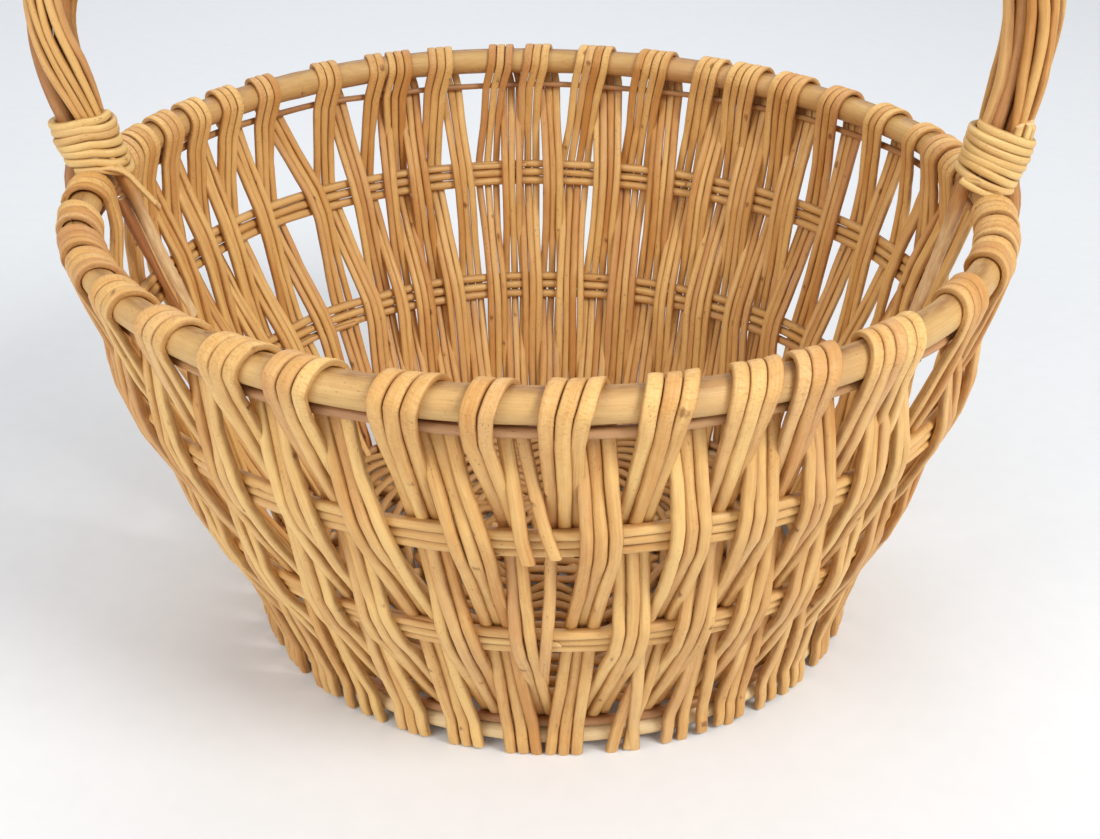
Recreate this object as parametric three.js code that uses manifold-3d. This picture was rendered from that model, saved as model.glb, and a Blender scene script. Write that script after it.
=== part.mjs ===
// Egg collection basket of willow rods: a bow handle on an open, flared wall of looped stakes.
// Millimetres, +Z up. The origin is on the floor, on the axis of the hoops; the handle spans X.

import * as THREE from 'three';
import { mergeVertices } from 'three/addons/utils/BufferGeometryUtils.js';
import Module from 'manifold-3d';

const wasm = await Module();
wasm.setup();

// ---- Driving dimensions ----

const RIM_RADIUS = 178;
const RIM_Z = 184;
const RIM_THICKNESS = 12;
const BASE_RADIUS = 118;
const BASE_Z = 11;
const BASE_HOOP_THICKNESS = 8;
const WALL_FLARE = 1.57;

const UNDER_RIM_Z = 175;
const BASE_RING_Z = 17.6;
const THIN_ROD = 4;

const UPPER_BAND_Z = 129;
const LOWER_BAND_Z = 75;
const BAND_ROD = 3.5;
const BAND_RODS = 3;
const BAND_PITCH = 3.9;

const STAKE_AT_RIM = 4.5;
const STAKE_AT_TIP = 3.6;
const STAKE_PACKING = 0.8;
const RIM_PACKING = 0.9;
const TIP_RADIUS = 10;
const CLEARANCE = 0.9;

const HANDLE_HALF_SPAN = 183;
const HANDLE_SKEW = -3;
const HANDLE_SPRING_Z = 245;
const HANDLE_TOP_Z = 400;
const CORE_THICKNESS = 7.6;
const CORE_OFFSET = 4.1;

const BINDING_SPAN = [0.007, 0.041];
const BINDING_ROD = 3.4;
const BINDING_TURNS = 6;

const BASE_STICK = 6;
const BASE_STICK_REACH = 107;
const BASE_SPOKE_ANGLE = 30;
const BASE_WEAVE_RADII = [18, 104];
const BASE_WEAVE_THICKNESS = 9;
const BASE_WEAVE_Z = 14;

const HOOP_STEPS = 40;
const FLAT_BAR_RADIUS = 1.25;

// Each loop of stakes as [degrees round the rim, rods side by side], as the maker spaced them.
const LOOPS = [
  [-172, 3], [-165, 3], [-157, 3], [-150, 3], [-141, 3], [-131, 3], [-121, 3], [-113, 3], [-102, 3],
  [-94, 2], [-86, 3], [-76.5, 3], [-67.8, 3], [-61, 3], [-52, 3], [-48, 2], [-36, 3], [-24, 3],
  [-17, 3], [-10, 3], [8, 3], [14, 3], [20, 2], [29, 3], [39, 3], [48, 4], [56, 4], [62.5, 3],
  [72, 4], [82, 4], [91.5, 3], [97.5, 3], [107.5, 3], [114.5, 3], [118.5, 2], [127, 3], [138.5, 3],
  [146, 3], [153, 3], [159.5, 3], [166, 3], [171, 3],
];

// ---- Materials ----

function willow(color, roughness) {
  return new THREE.MeshStandardMaterial({ color, roughness, metalness: 0 });
}

const RIM_WILLOW = willow(0xd6b06a, 0.5);
const STAKE_WILLOW = willow(0xc9964f, 0.5);
const BAND_WILLOW = willow(0xc89a55, 0.55);
const DARK_WILLOW = willow(0xa9763f, 0.6);
const HANDLE_WILLOW = willow(0xc18d49, 0.5);
const BINDING_WILLOW = willow(0xd2a85f, 0.5);
const BASE_WILLOW = willow(0xbf9a62, 0.6);

// ---- Shape helpers ----

const basket = new THREE.Group();

function add(name, geometry, material) {
  const mesh = new THREE.Mesh(geometry, material);
  mesh.name = name;
  basket.add(mesh);
}

const UPWARD = new THREE.Vector3(0, 0, 1);
const SIDEWAYS = new THREE.Vector3(0, 1, 0);

function radians(degrees) {
  return THREE.MathUtils.degToRad(degrees);
}

function polar(radius, angle, z) {
  return new THREE.Vector3(radius * Math.cos(angle), radius * Math.sin(angle), z);
}

// The wall flares from the base hoop to the rim, steeper towards the top.
function wallRadius(z) {
  const rise = THREE.MathUtils.clamp((z - BASE_Z) / (RIM_Z - BASE_Z), -0.07, 1);
  return BASE_RADIUS + (RIM_RADIUS - BASE_RADIUS) * (1 - (1 - rise) ** WALL_FLARE);
}

// A stake tapers from its thick middle, on the rim, to its two tips at the base.
function stakeThickness(z) {
  return THREE.MathUtils.mapLinear(z, 0, RIM_Z, STAKE_AT_TIP, STAKE_AT_RIM);
}

function hoop(radius, thickness, z, sides) {
  const geometry = new THREE.TorusGeometry(radius, thickness / 2, sides, HOOP_STEPS);
  geometry.translate(0, 0, z);
  return geometry;
}

// Bends a unit rod along stations of { point, outward, width, thickness }, one ring at each.
// With four sides the section is a flat bar, and with more it is round.
function bentRod(stations, sides) {
  const last = stations.length - 1;
  const frames = stations.map(({ point, outward, width, thickness }, i) => {
    const before = stations[Math.max(i - 1, 0)].point;
    const after = stations[Math.min(i + 1, last)].point;
    const along = after.clone().sub(before).normalize();
    const normal = outward.clone().addScaledVector(along, -outward.dot(along)).normalize();
    const across = along.clone().cross(normal).multiplyScalar(width / 2);
    normal.multiplyScalar(thickness / 2);
    return { point, across, normal };
  });
  const [radius, firstCorner] = sides === 4 ? [FLAT_BAR_RADIUS, Math.PI / 4] : [1, 0];
  const geometry = new THREE.CylinderGeometry(radius, radius, 1, sides, last, false, firstCorner);
  const position = geometry.attributes.position;
  const vertex = new THREE.Vector3();
  for (let i = 0; i < position.count; i += 1) {
    vertex.fromBufferAttribute(position, i);
    const frame = frames[Math.round((vertex.y + 0.5) * last)];
    const moved = frame.point.clone();
    moved.addScaledVector(frame.across, vertex.x).addScaledVector(frame.normal, vertex.z);
    position.setXYZ(i, moved.x, moved.y, moved.z);
  }
  geometry.computeVertexNormals();
  return geometry;
}

// Slides the corners round a stake's lower tip along the stake to the floor, so that the cut stands flat.
function cutAtFloor(geometry, tip, direction) {
  const position = geometry.attributes.position;
  const vertex = new THREE.Vector3();
  for (let i = 0; i < position.count; i += 1) {
    vertex.fromBufferAttribute(position, i);
    if (vertex.distanceTo(tip) < TIP_RADIUS) {
      vertex.addScaledVector(direction, -vertex.z / direction.z);
      position.setXYZ(i, vertex.x, vertex.y, 0);
    }
  }
  return geometry;
}

// ---- Stake loops ----

const SETTLING_ROUNDS = 400;

// Where the legs of every loop lie at one height: in loop order, first the outer and then the inner leg,
// pushed apart until each has its own place round the wall.
function settledLegs(z, outerDrift, innerDrift) {
  const room = 360 / (2 * Math.PI * wallRadius(z));
  const legs = LOOPS.flatMap(([angle, rods]) => {
    const width = (rods * stakeThickness(z) * STAKE_PACKING + CLEARANCE) * room;
    return [{ angle: angle + outerDrift, width }, { angle: angle + innerDrift, width }];
  });
  for (let round = 0; round < SETTLING_ROUNDS; round += 1) {
    legs.forEach((leg, i) => {
      const next = legs[(i + 1) % legs.length];
      const turn = i + 1 === legs.length ? 360 : 0;
      const overlap = (leg.width + next.width) / 2 - (next.angle + turn - leg.angle);
      if (overlap > 0) {
        leg.angle -= overlap / 2;
        next.angle += overlap / 2;
      }
    });
  }
  return legs.map((leg) => radians(leg.angle));
}

// Heights where a leg is placed, from the floor up: whether the outer leg is outside (+1), inside (-1)
// or level with the others (0), its distance from the wall's middle, and the drift of both legs.
const tipClear = BASE_HOOP_THICKNESS / 2 + STAKE_AT_TIP / 2 + 1.4 * CLEARANCE;
const bandClear = BAND_ROD / 2 + STAKE_AT_RIM / 2 + 2 * CLEARANCE;
const LEVELS = [
  { z: 0, side: -1, clear: tipClear, drift: [0, 5] },
  { z: BASE_RING_Z - 3, side: -1, clear: tipClear, drift: [0, 5] },
  { z: 43, side: 0, clear: 0, drift: [0, 5] },
  { z: LOWER_BAND_Z, side: 1, clear: bandClear, drift: [0, 5.2] },
  { z: 102, side: 0, clear: 0, drift: [0, 4.8] },
  { z: UPPER_BAND_Z, side: -1, clear: bandClear, drift: [0, 4.6] },
  { z: 152, side: 0, clear: 0, drift: [0, 4.3] },
];
const PLACES = LEVELS.map(({ z, drift }) => settledLegs(z, drift[0], drift[1]));

const OVER_RIM_STEPS = 4;
const OVER_RIM_SHIFT = 3.5;

function legStations(loop, rods, isInner) {
  return LEVELS.map(({ z, side, clear }, level) => {
    const angle = PLACES[level][2 * loop + (isInner ? 1 : 0)];
    const offset = side * clear * (isInner ? -1 : 1);
    const height = !isInner && level === 0 ? BASE_HOOP_THICKNESS / 2 : z;
    const outward = polar(isInner ? -1 : 1, angle, 0);
    const thickness = stakeThickness(z);
    const width = rods * thickness * STAKE_PACKING;
    return { point: polar(wallRadius(z) + offset, angle, height), outward, width, thickness };
  });
}

function overRimStations(degrees, rods) {
  const clear = RIM_THICKNESS / 2 + STAKE_AT_RIM / 2 + CLEARANCE;
  const lift = clear / Math.cos(Math.PI / (2 * OVER_RIM_STEPS));
  return Array.from({ length: OVER_RIM_STEPS + 1 }, (_, i) => {
    const turn = (Math.PI * i) / OVER_RIM_STEPS;
    const angle = radians(degrees + (OVER_RIM_SHIFT * i) / OVER_RIM_STEPS);
    const point = polar(RIM_RADIUS + lift * Math.cos(turn), angle, RIM_Z + lift * Math.sin(turn));
    const outward = polar(Math.cos(turn), angle, Math.sin(turn));
    return { point, outward, width: rods * STAKE_AT_RIM * RIM_PACKING, thickness: STAKE_AT_RIM };
  });
}

function stakeLoop([degrees, rods], loop) {
  const outer = legStations(loop, rods, false);
  const inner = legStations(loop, rods, true);
  const tip = inner[0].point;
  const direction = inner[1].point.clone().sub(tip).normalize();
  const stations = [...outer, ...overRimStations(degrees, rods), ...inner.reverse()];
  return cutAtFloor(bentRod(stations, 4), tip, direction);
}

LOOPS.forEach((loop, i) => {
  add(`stake_loop_${String(i + 1).padStart(2, '0')}`, stakeLoop(loop, i), STAKE_WILLOW);
});

// ---- Hoops and bands ----

function bandRods(name, middle) {
  for (let i = 0; i < BAND_RODS; i += 1) {
    const z = middle + (i - (BAND_RODS - 1) / 2) * BAND_PITCH;
    add(`${name}_${i + 1}`, hoop(wallRadius(z), BAND_ROD, z, 5), BAND_WILLOW);
  }
}

add('rim_hoop', hoop(RIM_RADIUS, RIM_THICKNESS, RIM_Z, 8), RIM_WILLOW);
add('under_rim_rod', hoop(wallRadius(UNDER_RIM_Z), THIN_ROD, UNDER_RIM_Z, 5), DARK_WILLOW);
bandRods('upper_band_rod', UPPER_BAND_Z);
bandRods('lower_band_rod', LOWER_BAND_Z);
add('base_ring_rod', hoop(wallRadius(BASE_RING_Z) + 0.8, THIN_ROD, BASE_RING_Z, 5), DARK_WILLOW);
add('base_hoop', hoop(BASE_RADIUS, BASE_HOOP_THICKNESS, BASE_Z, 6), RIM_WILLOW);

// ---- Base: six sticks pierced through each other, and the weave that holds them apart ----

function toManifold(geometry) {
  const bare = geometry.clone();
  bare.deleteAttribute('normal');
  bare.deleteAttribute('uv');
  const merged = mergeVertices(bare, 1e-4);
  return new wasm.Manifold(new wasm.Mesh({
    numProp: 3,
    vertProperties: new Float32Array(merged.attributes.position.array),
    triVerts: new Uint32Array(merged.index.array),
  }));
}

function fromManifold(solid) {
  const mesh = solid.getMesh();
  const geometry = new THREE.BufferGeometry();
  geometry.setAttribute('position', new THREE.BufferAttribute(mesh.vertProperties, mesh.numProp));
  geometry.setIndex(new THREE.BufferAttribute(mesh.triVerts, 1));
  geometry.computeVertexNormals();
  return geometry;
}

// A stick runs through the middle beside its neighbours, then bends out to its spoke angle at both ends.
function baseStick(spoke, quarterTurn, thickness, overshoot) {
  const beside = spoke * BASE_STICK * 1.05;
  const angle = radians(spoke * BASE_SPOKE_ANGLE);
  const bend = new THREE.Vector2(34, beside + spoke * 8);
  const tip = new THREE.Vector2(BASE_STICK_REACH * Math.cos(angle), BASE_STICK_REACH * Math.sin(angle));
  tip.add(tip.clone().sub(bend).setLength(overshoot));
  const half = [new THREE.Vector2(12, beside), bend, tip];
  const route = [...half.map(({ x, y }) => new THREE.Vector2(-x, y)).reverse(), ...half];
  const stations = route.map(({ x, y }) => {
    const point = new THREE.Vector3(x, y, BASE_WEAVE_Z).applyAxisAngle(UPWARD, quarterTurn);
    return { point, outward: UPWARD, width: thickness, thickness };
  });
  return bentRod(stations, 6);
}

function baseSticks(thickness, overshoot) {
  const sticks = [0, Math.PI / 2].flatMap((quarterTurn) => (
    [-1, 0, 1].map((spoke) => baseStick(spoke, quarterTurn, thickness, overshoot))
  ));
  return sticks.map(toManifold).reduce((joined, stick) => joined.add(stick));
}

function baseWeave() {
  const [inner, outer] = BASE_WEAVE_RADII;
  const ridges = 3;
  const ridgeHeight = 1.2;
  const top = Array.from({ length: 2 * ridges + 1 }, (_, i) => {
    const radius = THREE.MathUtils.mapLinear(i, 0, 2 * ridges, inner, outer);
    return new THREE.Vector2(radius, BASE_WEAVE_THICKNESS / 2 - (i % 2 ? 0 : ridgeHeight));
  });
  const underside = top.map(({ x, y }) => new THREE.Vector2(x, -y));
  const profile = [...underside, ...top.reverse(), underside[0].clone()];
  const ring = new THREE.LatheGeometry(profile, 30);
  ring.rotateX(Math.PI / 2);
  ring.translate(0, 0, BASE_WEAVE_Z);
  const tunnels = baseSticks(BASE_STICK + 2 * CLEARANCE, 10);
  return fromManifold(toManifold(ring).subtract(tunnels));
}

add('base_sticks', fromManifold(baseSticks(BASE_STICK, 0)), BASE_WILLOW);
add('base_weave', baseWeave(), BASE_WILLOW);

// ---- Bow handle: two core sticks that straddle the rim, wound with bundles of thin rods ----

// The middle line of the bow: upright ends that lean outwards, then half an ellipse over the top.
function bowPoint(along) {
  const turn = Math.PI * along;
  const reach = HANDLE_HALF_SPAN * Math.cos(turn);
  const rise = (HANDLE_TOP_Z - HANDLE_SPRING_Z) * Math.sin(turn);
  return new THREE.Vector3(HANDLE_SKEW - reach, 0, HANDLE_SPRING_Z + rise);
}

const BOW_FOOT = [[176.5, 199], [178.6, 214], [181.3, 230]];

// The whole middle line from the left binding to the right one, as a smooth curve.
function bowCurve() {
  const left = BOW_FOOT.map(([x, z], i) => new THREE.Vector3(-x + (HANDLE_SKEW * i) / BOW_FOOT.length, 0, z));
  const right = BOW_FOOT.map(([x, z], i) => new THREE.Vector3(x + (HANDLE_SKEW * i) / BOW_FOOT.length, 0, z));
  const arcSteps = 12;
  const arc = Array.from({ length: arcSteps + 1 }, (_, i) => bowPoint(i / arcSteps));
  return new THREE.CatmullRomCurve3([...left, ...arc, ...right.reverse()], false, 'centripetal');
}

const BOW = bowCurve();

// Outward from the bow in its own plane, at a share of its length.
function bowOutward(share) {
  const along = BOW.getTangentAt(share);
  return new THREE.Vector3().crossVectors(SIDEWAYS, along).negate();
}

const CORE_STEPS = 34;
const OUTER_FOOT = [[185.8, 157], [188.2, 171], [189, 184], [185.2, 194]];
const INNER_FOOT = [[150.5, 124], [159.2, 150], [166.6, 177], [168.6, 188.5]];

function handleCore(offset, foot) {
  const run = Array.from({ length: CORE_STEPS + 1 }, (_, i) => {
    const share = THREE.MathUtils.mapLinear(i, 0, CORE_STEPS, 0.015, 0.985);
    return BOW.getPointAt(share).addScaledVector(bowOutward(share), offset);
  });
  const left = foot.map(([x, z]) => new THREE.Vector3(-x, 0, z));
  const right = foot.map(([x, z]) => new THREE.Vector3(x, 0, z)).reverse();
  const points = [...left, ...run, ...right];
  const stations = points.map((point, i) => {
    const isEnd = i === 0 || i === points.length - 1;
    const thickness = isEnd ? CORE_THICKNESS * 0.45 : CORE_THICKNESS;
    return { point, outward: SIDEWAYS, width: thickness, thickness: CORE_THICKNESS };
  });
  return bentRod(stations, 7);
}

add('handle_core_outer', handleCore(CORE_OFFSET, OUTER_FOOT), HANDLE_WILLOW);
add('handle_core_inner', handleCore(-CORE_OFFSET, INNER_FOOT), HANDLE_WILLOW);

// A wrap is a flat bundle of thin rods that hugs both core sticks as it winds slowly round them.
const CORE_REACH = [CORE_OFFSET + CORE_THICKNESS / 2 + 2.2 * CLEARANCE, CORE_THICKNESS / 2 + 1.7 * CLEARANCE];
const WRAP_STEPS = 44;
const WRAP_SPREAD = 100;
const WRAP_THICKNESS = { middle: 3.8, end: 2.4 };
const WRAP_ENDS = [0.012, 0.988];
const WRAP_TURN = { start: 1050, slowing: 400 };

function wrapDegrees(along) {
  return WRAP_TURN.start * along - WRAP_TURN.slowing * along ** 2;
}

function handleWrap(startDegrees) {
  const geometry = new THREE.BoxGeometry(1, 1, 1, 3, 1, WRAP_STEPS);
  const position = geometry.attributes.position;
  for (let i = 0; i < position.count; i += 1) {
    const along = position.getZ(i) + 0.5;
    const share = THREE.MathUtils.mapLinear(along, 0, 1, WRAP_ENDS[0], WRAP_ENDS[1]);
    const nearEnd = Math.min(1, 12 * Math.min(along, 1 - along));
    const thickness = THREE.MathUtils.lerp(WRAP_THICKNESS.end, WRAP_THICKNESS.middle, nearEnd);
    const depth = (position.getY(i) + 0.5) * thickness;
    const turn = radians(startDegrees + wrapDegrees(along) + position.getX(i) * WRAP_SPREAD);
    const point = BOW.getPointAt(share);
    point.addScaledVector(bowOutward(share), (CORE_REACH[0] + depth) * Math.cos(turn));
    point.addScaledVector(SIDEWAYS, (CORE_REACH[1] + depth) * Math.sin(turn));
    position.setXYZ(i, point.x, point.y, point.z);
  }
  geometry.computeVertexNormals();
  return geometry;
}

add('handle_wrap_1', handleWrap(-150), HANDLE_WILLOW);
add('handle_wrap_2', handleWrap(30), HANDLE_WILLOW);

// One thin rod wound round each end of the bow, just above the rim.
function handleBinding(isRight) {
  const stepsPerTurn = 10;
  const steps = stepsPerTurn * BINDING_TURNS;
  const reach = WRAP_THICKNESS.end + BINDING_ROD / 2 + CLEARANCE;
  const stations = Array.from({ length: steps + 1 }, (_, i) => {
    const turn = (2 * Math.PI * i) / stepsPerTurn;
    const span = THREE.MathUtils.mapLinear(i, 0, steps, BINDING_SPAN[0], BINDING_SPAN[1]);
    const share = isRight ? 1 - span : span;
    const around = bowOutward(share).multiplyScalar(Math.cos(turn)).addScaledVector(SIDEWAYS, Math.sin(turn));
    const point = BOW.getPointAt(share);
    point.addScaledVector(bowOutward(share), (CORE_REACH[0] + reach) * Math.cos(turn));
    point.addScaledVector(SIDEWAYS, (CORE_REACH[1] + reach) * Math.sin(turn));
    return { point, outward: around, width: BINDING_ROD, thickness: BINDING_ROD };
  });
  return bentRod(stations, 4);
}

add('handle_binding_left', handleBinding(false), BINDING_WILLOW);
add('handle_binding_right', handleBinding(true), BINDING_WILLOW);

export default basket;
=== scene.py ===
"""Egg collection basket of peeled willow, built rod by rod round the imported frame.

Lengths in the shape code are millimetres in the frame's axes, and become metres when a mesh is made.
"""
import math

import bpy
import numpy as np
from mathutils import Matrix, Vector


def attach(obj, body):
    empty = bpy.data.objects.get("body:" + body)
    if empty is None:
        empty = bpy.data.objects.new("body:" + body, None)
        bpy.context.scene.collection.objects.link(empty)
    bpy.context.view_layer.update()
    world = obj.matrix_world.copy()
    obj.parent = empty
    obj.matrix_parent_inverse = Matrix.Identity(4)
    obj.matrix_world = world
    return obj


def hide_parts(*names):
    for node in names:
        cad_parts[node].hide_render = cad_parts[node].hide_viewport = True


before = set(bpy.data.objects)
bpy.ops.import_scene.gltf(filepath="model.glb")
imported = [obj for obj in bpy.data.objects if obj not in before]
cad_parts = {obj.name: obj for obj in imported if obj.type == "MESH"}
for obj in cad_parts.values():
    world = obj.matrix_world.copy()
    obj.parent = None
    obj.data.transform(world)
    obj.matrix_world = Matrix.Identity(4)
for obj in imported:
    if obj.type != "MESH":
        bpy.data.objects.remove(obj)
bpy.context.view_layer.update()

MM = 0.001
RNG = np.random.default_rng(20)

# ---- Driving dimensions: the CAD part's, but for a few millimetres here and there, after the photo ----

RIM_RADIUS = 178
RIM_Z = 184
RIM_THICKNESS = 12
BASE_RADIUS = 118
WALL_FOOT_Z = 11
BASE_HOOP_Z = 6.8
BASE_HOOP_THICKNESS = 8
WALL_FLARE = 1.57
UNDER_RIM_Z = 175
BASE_RING_Z = 13.0
THIN_ROD = 4
UPPER_BAND_Z = 129
LOWER_BAND_Z = 75
BAND_ROD = 4.1
BAND_PITCH = 4.05

HANDLE_HALF_SPAN = 183
HANDLE_SKEW = -3
HANDLE_SPRING_Z = 245
HANDLE_TOP_Z = 400
CORE_THICKNESS = 6.9
CORE_OFFSET = 3.7
# From the bottom up, as (distance from the middle, height): the bow's middle line above the rim, its end at
# the rim, and the feet of its core sticks outside and inside the rim.
BOW_FOOT = [(176.5, 199), (178.6, 214), (181.3, 230)]
BOW_TUCK = (175.2, 186)
OUTER_FOOT = [(185.8, 157), (188.2, 171), (189, 184), (185.2, 194)]
INNER_FOOT = [(150.5, 124), (159.2, 150), (166.6, 177), (168.6, 188.5)]

BASE_STICK = 6
BASE_STICK_REACH = 111
BASE_SPOKE_ANGLE = 30
BASE_WEAVE_Z = 14

# Each loop of stakes as (degrees round the rim, rods side by side). -90 is the front.
LOOPS = [
    (-172, 3), (-165, 3), (-157, 3), (-150, 3), (-141, 3), (-131, 3), (-121, 3), (-113, 3), (-102, 3),
    (-94, 2), (-86, 3), (-76.5, 3), (-67.8, 3), (-61, 3), (-52, 3), (-48, 2), (-36, 3), (-24, 3),
    (-17, 3), (-10, 3), (8, 3), (14, 3), (20, 2), (29, 3), (39, 3), (48, 4), (56, 4), (62.5, 3),
    (72, 4), (82, 4), (91.5, 3), (97.5, 3), (107.5, 3), (114.5, 3), (118.5, 2), (127, 3), (138.5, 3),
    (146, 3), (153, 3), (159.5, 3), (166, 3), (171, 3),
]

# ---- Curves ----


def polar(radius, degrees, z):
    """A point, or a row of points, from a radius, an angle in degrees and a height."""
    angle = np.radians(degrees)
    return np.stack(np.broadcast_arrays(radius * np.cos(angle), radius * np.sin(angle), z), axis=-1)


def unit(vectors):
    return vectors / np.linalg.norm(vectors, axis=-1, keepdims=True)


def spline(knots, values, at):
    """A smooth curve through values at uneven knots, read at the given places."""
    values = np.asarray(values, float)
    slopes = np.gradient(values, knots, axis=0)
    i = np.clip(np.searchsorted(knots, at) - 1, 0, len(knots) - 2)
    span = (knots[i + 1] - knots[i])[:, None]
    t = (at - knots[i])[:, None] / span
    start, end = values[i], values[i + 1]
    return (
        (1 + 2 * t) * (1 - t) ** 2 * start
        + t * (1 - t) ** 2 * span * slopes[i]
        + t**2 * (3 - 2 * t) * end
        + t**2 * (t - 1) * span * slopes[i + 1]
    )


def lengths(points):
    """The distance along a row of points, from its first."""
    steps = np.linalg.norm(np.diff(points, axis=0), axis=1)
    return np.concatenate([[0], np.cumsum(steps)])


KINK_STEP = 0.5
RUN_OUT = 20.0


def kinked(knots, rows, at, corner):
    """Rows read along straight runs between knots, with every corner rounded over about this length.

    The first and last run are carried on past their ends, so that nothing is rounded off there.
    """
    before = rows[0] - (rows[1] - rows[0]) * RUN_OUT / (knots[1] - knots[0])
    after = rows[-1] + (rows[-1] - rows[-2]) * RUN_OUT / (knots[-1] - knots[-2])
    knots = np.concatenate([[-RUN_OUT], knots, [knots[-1] + RUN_OUT]])
    rows = np.vstack([before[None], rows, after[None]])
    fine = np.arange(knots[0], knots[-1], KINK_STEP)
    window = np.ones(int(corner / 2 / KINK_STEP) | 1)
    window = np.convolve(window, window) / len(window) ** 2
    edge = len(window) // 2
    columns = []
    for column in rows.T:
        straight = np.interp(fine, knots, column)
        rounded = np.convolve(straight, window, "valid")
        columns.append(np.interp(at, fine[edge:len(fine) - edge], rounded))
    return np.stack(columns, axis=1)


def smooth_through(points, step):
    """A smooth path through a few points, sampled about every step."""
    points = np.asarray(points, float)
    knots = lengths(points)
    at = np.linspace(0, knots[-1], max(4, int(knots[-1] / step) + 1))
    return spline(knots, points, at)


# The waves of a drift: their lengths as shares of the longest one, and the height of each.
DRIFT_LENGTHS = (1, 0.62, 0.37)
DRIFT_HEIGHT = 0.55


def wander(run, size, wavelength):
    """A slow random drift of about this size along a rod."""
    phases = RNG.uniform(0, 2 * math.pi, len(DRIFT_LENGTHS))
    waves = [DRIFT_HEIGHT * np.sin(2 * math.pi * run / (wavelength * share) + phase)
             for share, phase in zip(DRIFT_LENGTHS, phases)]
    return size * sum(waves)


BELOW_FOOT = -0.07


def wall_radius(z):
    """The radius of the middle of the wall, which flares fast at the foot and then ever less."""
    rise = np.clip((z - WALL_FOOT_Z) / (RIM_Z - WALL_FOOT_Z), BELOW_FOOT, 1)
    return BASE_RADIUS + (RIM_RADIUS - BASE_RADIUS) * (1 - (1 - rise) ** WALL_FLARE)


# The finished basket is a little askew: how far it sits to +X at each height, and how much wider it is.
SKEW_HEIGHTS = (0, 75, 129, 184, 190, 202, 258, 400)
SKEW_SHIFTS = (3.7, 0.7, -1.5, -3.75, -4.0, -3.8, -1.0, 0.3)
SKEW_WIDENING = (0.055, 0, 0, -0.012, -0.009, 0.0065, 0.0044, 0.004)


def hand_made(points):
    """Moves points of the true round shape to where they are in the slightly skewed basket."""
    x, y, z = points.T
    widening = np.interp(z, SKEW_HEIGHTS, SKEW_WIDENING)
    shift = np.interp(z, SKEW_HEIGHTS, SKEW_SHIFTS)
    return np.stack([x * (1 + widening) + shift, y, z], axis=1)


# ---- Rods ----

BODY = "root"
# How a rod's thickness varies: a slow drift and a quicker ripple.
SWELL_DRIFT = 0.7
SWELL_LENGTH = 90
RIPPLE = 0.5
RIPPLE_LENGTH = 9
# How long and how far round each bud is, how high it stands, and how the rod thickens under it.
BUD_LENGTH = 2.1
BUD_SPREAD = 0.25
BUD_HEIGHT = 0.15
BUD_SWELLING = 0.03
BUD_SWELLING_LENGTH = 4
# The higher, the narrower the painted shade, a brown line along each side of a rod where it lies against its
# neighbours.
SIDE_SHADE_POWER = 7
# A cut end's bevel, its limit as a share of the end's size, and the share of the flat face inside it.
BEVEL = 0.35
BEVEL_LIMIT = 0.2
FLAT_SHARE = 0.84
OFF_FLOOR = 0.05
SHARP_DEGREES = 50


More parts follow.
